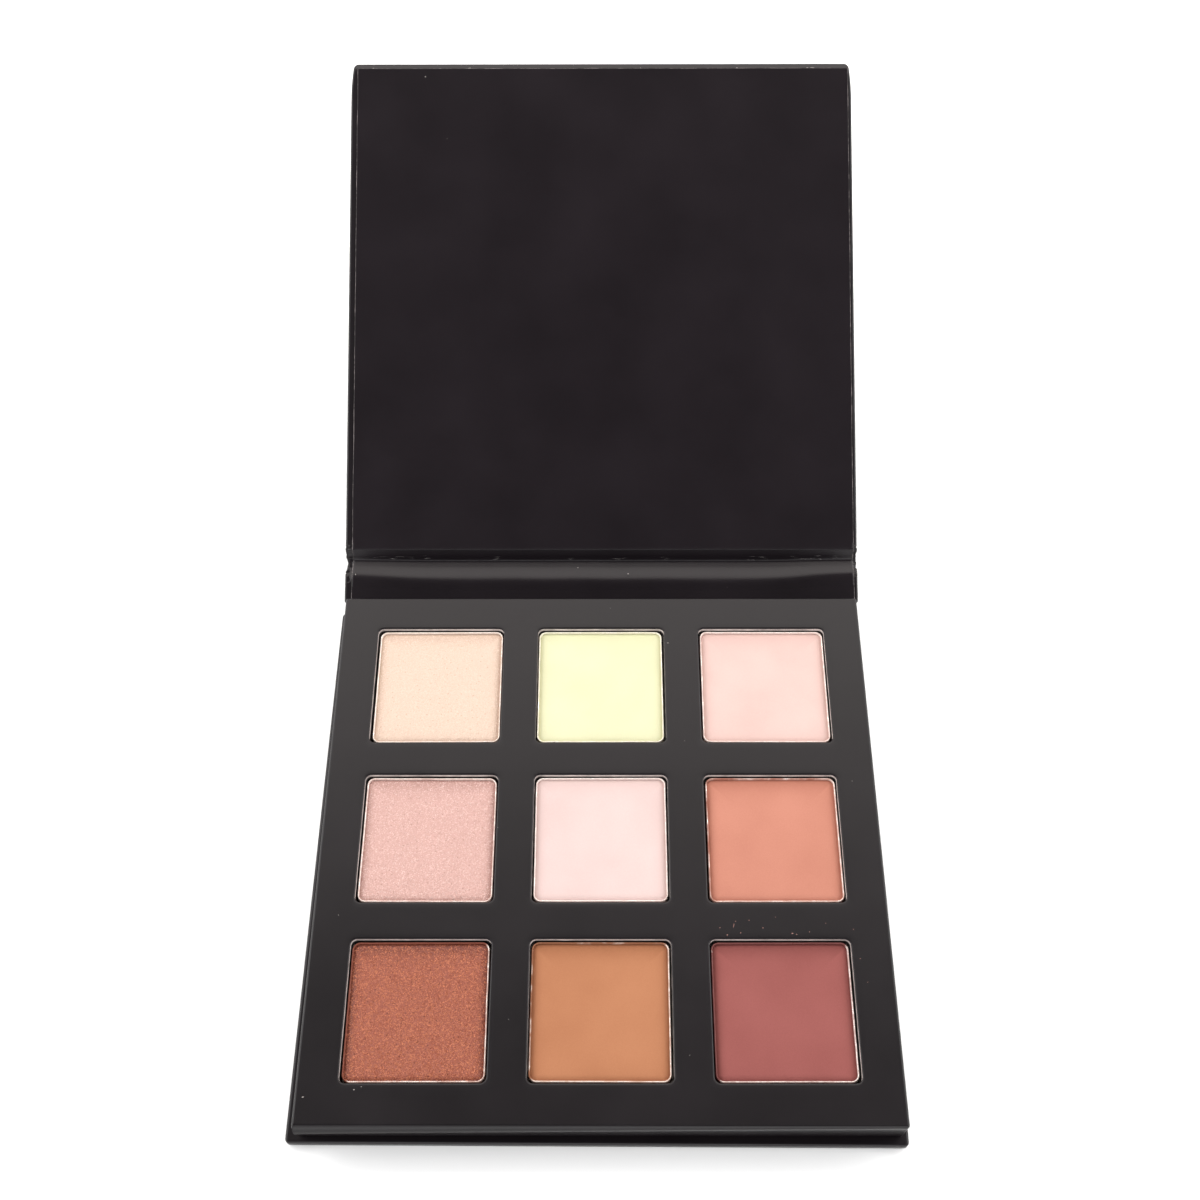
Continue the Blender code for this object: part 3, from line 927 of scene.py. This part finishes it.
def make_upper_crease():
    """The covering paper across the upper crease, lumpy where it is folded in at its ends."""
    surface = Surface()
    half = lid_high.x - 0.15 * MM
    middle = np.linspace(-half + 3.1 * MM, half - 3.1 * MM, 60)
    ends = np.linspace(0, 3.0 * MM, 30)
    columns = np.concatenate([-half + ends, middle, half - ends[::-1]])
    rows = []
    outside = smooth_line([
        side_view(SPINE_FRAME, spine_high.y - 0.7 * MM, 0.25 * MM + spine_low.z),
        side_view(SPINE_FRAME, spine_high.y + 0.1 * MM, 0.1 * MM + spine_low.z),
        (LID_HINGE.y + 0.21 * MM, LID_HINGE.z - 1.16 * MM),
        side_view(LID_FRAME, lid_low.y - 0.1 * MM, lid_low.z + 0.1 * MM),
        side_view(LID_FRAME, lid_low.y + 0.7 * MM, lid_low.z + 0.25 * MM),
    ], 7)[::-1]
    for x in columns:
        inside = crease_line(x)
        edge = math.exp(-((half - abs(x)) / (1.5 * MM)) ** 2)
        section = []
        for y, z in inside[2:-2]:
            lump = edge * (wobble(x, y, z, 0.9 * MM, 14) - 0.2) * 0.5 * MM
            section.append((x, y, z - 0.2 * MM + min(lump, 0.18 * MM)))
        for y, z in outside:
            section.append((x, y, z + edge * 0.15 * MM * wobble(x, y, z, 1 * MM, 14)))
        side = 1 if x > 0 else -1
        room = 0.12 * MM if x > 0 else 0.4 * MM
        section = [
            (x + side * edge * min(room, 0.4 * MM * wobble(y, z, 0, 1.2 * MM, 15 + side)), y, z)
            for x, y, z in section
        ]
        rows.append(surface.row(section))
    surface.tube(rows)
    crease = surface.build("upper_crease", [case_paper], sharp=50)
    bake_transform(crease)


def make_lower_crease():
    """The covering paper and the lining between the bottom board and the spine."""
    surface = Surface()
    bottom_rear = span("bottom_wrap", BASE_FRAME)[1].y
    half = spine_high.x - 0.4 * MM
    rows = []
    for x in np.linspace(-half, half, 90):
        rear = BASE_FRAME @ Vector((x, bottom_rear, 0))
        inside = smooth_line([
            (rear.y - 0.8 * MM, 2.0 * MM), (rear.y, 1.95 * MM),
            (SPINE_HINGE.y - 0.3 * MM, SPINE_HINGE.z + 0.15 * MM),
            side_view(SPINE_FRAME, spine_low.y, spine_high.z - 0.2 * MM),
            side_view(SPINE_FRAME, spine_low.y + 0.8 * MM, spine_high.z - 0.1 * MM),
        ], 6)
        outside = smooth_line([
            (rear.y - 0.8 * MM, 0.2 * MM), (rear.y, 0.12 * MM),
            (SPINE_HINGE.y + 0.1 * MM, SPINE_HINGE.z - 0.65 * MM),
            side_view(SPINE_FRAME, spine_low.y, spine_low.z + 0.12 * MM),
            side_view(SPINE_FRAME, spine_low.y + 0.8 * MM, spine_low.z + 0.2 * MM),
        ], 6)[::-1]
        edge = math.exp(-((half - abs(x)) / (1.3 * MM)) ** 2)
        line = np.concatenate([inside, outside])
        rows.append(surface.row([
            (x + math.copysign(edge * 0.3 * MM * wobble(y, z, 0, 1.4 * MM, 18), x), y,
             max(0.05 * MM, z + edge * 0.15 * MM * wobble(x, y, z, 1 * MM, 19)))
            for y, z in line
        ]))
    surface.tube(rows)
    crease = surface.build("lower_crease", [case_paper], sharp=50)
    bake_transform(crease)


# ---------------- dust, crumbs and scuffs
def fleck(surface, centre, along, across, size, seed):
    """A small irregular flake lying on a face."""
    chance = random.Random(seed)
    up = Vector((0, 0, 1))
    count = 7
    length, width, height = size
    rim = []
    for i in range(count):
        angle = 2 * math.pi * i / count
        reach = 0.5 * (0.7 + 0.5 * chance.random())
        step = along * (length * math.cos(angle)) + across * (width * math.sin(angle))
        rim.append(centre + step * reach)
    low = surface.row(rim)
    high = surface.row([
        point + up * height * (0.4 + 0.6 * chance.random()) + (centre - point) * 0.35 for point in rim
    ])
    surface.bridge(low, high)
    surface.cap(high)
    surface.cap(low[::-1])


def scatter(name, material, body, placement, level, places):
    """Flakes on a face of a panel or of the tray; each place is (x, y, length, width, turn) in mm."""
    surface = Surface()
    for number, (x, y, length, width, turn) in enumerate(places):
        angle = math.radians(turn)
        centre = Vector((x * MM, y * MM, level))
        along = Vector((math.cos(angle), math.sin(angle), 0))
        across = Vector((-math.sin(angle), math.cos(angle), 0))
        size = (0.8 * length * MM, 0.8 * width * MM, min(length, width) * 0.25 * MM)
        fleck(surface, centre, along, across, size, number)
    flakes = surface.build(name, [material], placement, sharp=30, solid=False)
    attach(flakes, body)


TRAY_DUST = (
    (-44.5, -48.7, 0.35, 0.3, 20), (-43.2, -48.2, 0.3, 0.2, 50), (-53.6, -50.0, 0.5, 0.25, 10),
    (16.3, -42.5, 0.35, 0.15, 60), (14.2, 44.0, 0.6, 0.3, 15), (46.8, -31.0, 0.3, 0.2, 80),
    (-20.4, 2.0, 0.25, 0.2, 0), (50.6, 12.0, 0.25, 0.2, 40), (-50.3, -16.0, 0.2, 0.2, 0),
    (-17.0, -36.0, 0.2, 0.15, 30), (17.1, 21.0, 0.2, 0.15, 75), (2.0, 52.6, 0.2, 0.15, 5),
)
CRUMBS = (
    (24.1, -19.9, 0.35, 0.3, 0), (26.7, -19.5, 0.3, 0.25, 40), (25.4, -18.1, 1.1, 0.12, 75),
    (22.8, -18.5, 0.3, 0.25, 10), (25.8, -17.2, 0.25, 0.2, 0), (31.0, -18.5, 0.25, 0.2, 60),
    (36.5, -19.6, 0.5, 0.25, 10), (37.3, -19.8, 0.3, 0.25, 0), (39.8, -19.3, 0.25, 0.2, 20),
    (48.2, -18.8, 0.35, 0.15, 55), (28.4, -17.0, 0.2, 0.2, 0), (33.5, -16.4, 0.2, 0.15, 0),
    (43.0, -17.6, 0.2, 0.2, 0), (49.0, -24.5, 0.25, 0.15, 30), (50.0, -29.0, 0.2, 0.15, 0),
)
LID_DUST = (
    (-40.1, 111.1, 0.5, 0.45, 0), (-35.0, 96.6, 0.35, 0.3, 0), (12.0, 80.0, 0.2, 0.2, 0),
    (-20.0, 60.0, 0.2, 0.15, 0), (30.0, 45.0, 0.2, 0.2, 0), (44.0, 88.0, 0.2, 0.15, 0),
    (51.2, 109.2, 0.3, 0.25, 0), (-8.0, 30.0, 0.2, 0.15, 0), (20.0, 14.0, 0.2, 0.15, 0),
)
SPINE_DUST = (
    (-5.2, 9.4, 0.3, 0.25, 0), (6.0, 8.0, 0.4, 0.35, 0), (-53.4, 6.9, 0.4, 0.25, 0),
    (-42.7, 6.1, 0.35, 0.2, 0), (-54.7, 7.9, 0.35, 0.4, 0), (28.0, 5.0, 0.25, 0.2, 0),
)
# Chips lie along the lining's free edge and scuffs along its crease; each is (x, length) in mm.
LINER_CHIPS = ((-30.1, 0.9), (48.2, 1.5), (47.0, 0.7), (-52.0, 0.5), (9.0, 0.4), (31.0, 0.5))
SCUFFS = (
    (-49.6, 3.4), (-46.0, 3.0), (-43.2, 2.6), (-39.4, 2.0), (-24.0, 2.2), (-6.5, 1.4), (4.0, 3.0),
    (14.5, 2.2), (33.5, 1.6), (36.4, 2.2), (43.7, 2.6), (46.2, 2.8), (48.8, 1.8), (52.4, 1.5),
)


def make_scuffs():
    """Fine cracks in the lining's black film along the lid's lower edge."""
    surface = Surface()
    chance = random.Random(4)
    for number, (place, length) in enumerate(SCUFFS):
        for _ in range(3):
            x = place + chance.uniform(-0.4, 0.4) * length
            span_x = length * chance.uniform(0.3, 0.9)
            down = chance.uniform(-1.0, 3.0)
            steps = 14
            above = []
            below = []
            for step in range(steps + 1):
                t = step / steps
                across = (x + span_x * (t - 0.5)) * MM
                line = crease_line(across)
                spot = BEND + 2 + down + 1.2 * wobble(across, 0, 0, 1.6 * MM, 40 + number)
                index = int(spot)
                point = line[index] * (1 - spot + index) + line[index + 1] * (spot - index)
                slope = line[index + 1] - line[index]
                slope = slope / np.linalg.norm(slope)
                normal = np.array([-slope[1], slope[0]])
                ragged = 0.5 + abs(wobble(across, 0, 0, 0.5 * MM, 60))
                width = 0.045 * MM * math.sin(math.pi * t) * ragged
                base = point + normal * 0.012 * MM
                above.append((across, *(base + slope * width)))
                below.append((across, *(base - slope * width)))
            surface.bridge(surface.row(above), surface.row(below), closed=False)
    marks = surface.build("crease_scuffs", [scuffed], sharp=30, solid=False)
    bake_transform(marks)


# ---------------- assembly
make_tray_skin()
make_window_card()
for index in range(len(SHADES)):
    make_pan(index)
    make_cake(index)

make_panel("case_bottom", "bottom_wrap", "base", BASE_FRAME, 0.5 * MM, 0.9 * MM)
make_panel("bottom_greyboard", "bottom_board", "base", BASE_FRAME, 0.2 * MM, 0.9 * MM, finish="greyboard")
make_panel("case_spine", "spine_wrap", "spine", SPINE_FRAME, 0.4 * MM, 0.6 * MM, crush=flattened_spine)
make_panel("spine_greyboard", "spine_board", "spine", SPINE_FRAME, 0.2 * MM, 0.5 * MM,
           crush=flattened_spine, finish="greyboard")
make_panel("case_lid", "lid_wrap", "lid", LID_FRAME, 0.5 * MM, 1.2 * MM, LID_STRETCH, LID_CORNER_TAPER,
           eased_lid)
make_panel("lid_greyboard", "lid_board", "lid", LID_FRAME, 0.2 * MM, 1.2 * MM, 0, LID_CORNER_TAPER,
           eased_lid, "greyboard")
make_liner("spine_lining", "spine_liner", "spine", SPINE_FRAME, cut=1.9 * MM)
make_liner("lid_lining", "lid_liner", "lid", LID_FRAME, LINER_STRETCH)
make_crease_lining()
make_upper_crease()
make_lower_crease()

scatter("tray_dust", dust, "base", None, TRAY_TOP, TRAY_DUST)
scatter("powder_crumbs", crumbs, "base", None, TRAY_TOP, CRUMBS)
scatter("lid_dust", dust, "lid", LID_FRAME, lining_high.z - 0.05 * MM, LID_DUST)
scatter("spine_dust", dust, "spine", SPINE_FRAME, spine_lining_high.z, SPINE_DUST)
free_edge = (lining_high.y + LINER_STRETCH) / MM
chips = [(x, free_edge, size, 0.16, 8 * (-1) ** i) for i, (x, size) in enumerate(LINER_CHIPS)]
scatter("liner_chips", dust, "lid", LID_FRAME, lining_high.z, chips)
make_scuffs()

# The CAD nodes that stay are all inside the case.
INNER_FINISHES = {"card": greyboard, "glue_pad": adhesive, "magnet": magnet}
for name, node in frame["nodes"].items():
    for word, finish in INNER_FINISHES.items():
        if word in name:
            node.data.materials.clear()
            node.data.materials.append(finish)


# ---------------- camera, light and floor
CAMERA_PLACE = Vector((0.884, -113.085, 286.997)) * MM
CAMERA_PITCH = math.radians(58.745)
CAMERA_YAW = math.radians(0.379)
CAMERA_ROLL = math.radians(-0.342)
CAMERA_LENS = 44.858
WARM_WHITE = (1.0, 0.95, 0.91)


def make_camera():
    data = bpy.data.cameras.new("camera")
    data.lens = CAMERA_LENS
    data.sensor_width = 36
    data.clip_start = 0.01
    camera = bpy.data.objects.new("camera", data)
    down = Matrix.Rotation(math.pi / 2 - CAMERA_PITCH, 4, "X")
    turn = Matrix.Rotation(CAMERA_YAW, 4, "Z")
    roll = Matrix.Rotation(CAMERA_ROLL, 4, "Z")
    camera.matrix_world = Matrix.Translation(CAMERA_PLACE) @ turn @ down @ roll
    show(camera)
    bpy.context.scene.camera = camera


def softbox(name, azimuth, elevation, distance, size, radiance, color=(1, 1, 1)):
    """A soft light aimed at the tray; azimuth 0 is behind it and 90 is to the right."""
    data = bpy.data.lights.new(name, "AREA")
    data.shape = "RECTANGLE"
    data.size, data.size_y = size
    data.energy = radiance * math.pi * data.size * data.size_y
    data.color = color
    light = bpy.data.objects.new(name, data)
    side, up = math.radians(azimuth), math.radians(elevation)
    way = Vector((math.sin(side) * math.cos(up), math.cos(side) * math.cos(up), math.sin(up)))
    light.location = way * distance
    light.rotation_mode = "QUATERNION"
    light.rotation_quaternion = way.to_track_quat("Z", "Y")
    show(light)


def make_floor():
    """White paper, three metres each way."""
    surface = Surface()
    marks = np.linspace(-3.0, 3.0, 9)
    surface.lattice([surface.row([(x, y, 0) for x in marks]) for y in marks])
    nodes = Nodes("studio_floor")
    soft = nodes.noise(60 * MM, 2)
    white = nodes.mix(soft, (0.95, 0.95, 0.95), (0.97, 0.97, 0.97))
    paper = nodes.finish(Base_Color=white, Roughness=0.8)
    floor = surface.build("floor", [paper], solid=False)


def make_world(horizon, zenith):
    """A white studio that is bright round its sides and dim overhead."""
    world = bpy.data.worlds.new("studio")
    bpy.context.scene.world = world
    world.use_nodes = True
    tree = world.node_tree
    place = tree.nodes.new("ShaderNodeTexCoord")
    height = tree.nodes.new("ShaderNodeSeparateXYZ")
    tree.links.new(place.outputs["Generated"], height.inputs[0])
    fall = tree.nodes.new("ShaderNodeMapRange")
    for key, number in (("From Min", 0.42), ("From Max", 0.86), ("To Min", horizon), ("To Max", zenith)):
        fall.inputs[key].default_value = number
    fall.interpolation_type = "SMOOTHSTEP"
    tree.links.new(height.outputs["Z"], fall.inputs["Value"])
    background = tree.nodes["Background"]
    tree.links.new(fall.outputs["Result"], background.inputs["Strength"])
    background.inputs["Color"].default_value = (1, 1, 1, 1)


bpy.context.scene.view_settings.view_transform = "Standard"
make_camera()
make_floor()
make_world(horizon=1.19, zenith=0.1)
softbox("back_softbox", 0, 50, distance=1.1, size=(2.2, 0.62), radiance=3.36, color=WARM_WHITE)
softbox("left_softbox", -82, 36, distance=1.1, size=(0.8, 0.7), radiance=4.85)
softbox("right_softbox", 82, 36, distance=1.1, size=(0.8, 0.7), radiance=4.6)
softbox("front_softbox", 180, 24, distance=1.2, size=(1.2, 0.5), radiance=2.7)
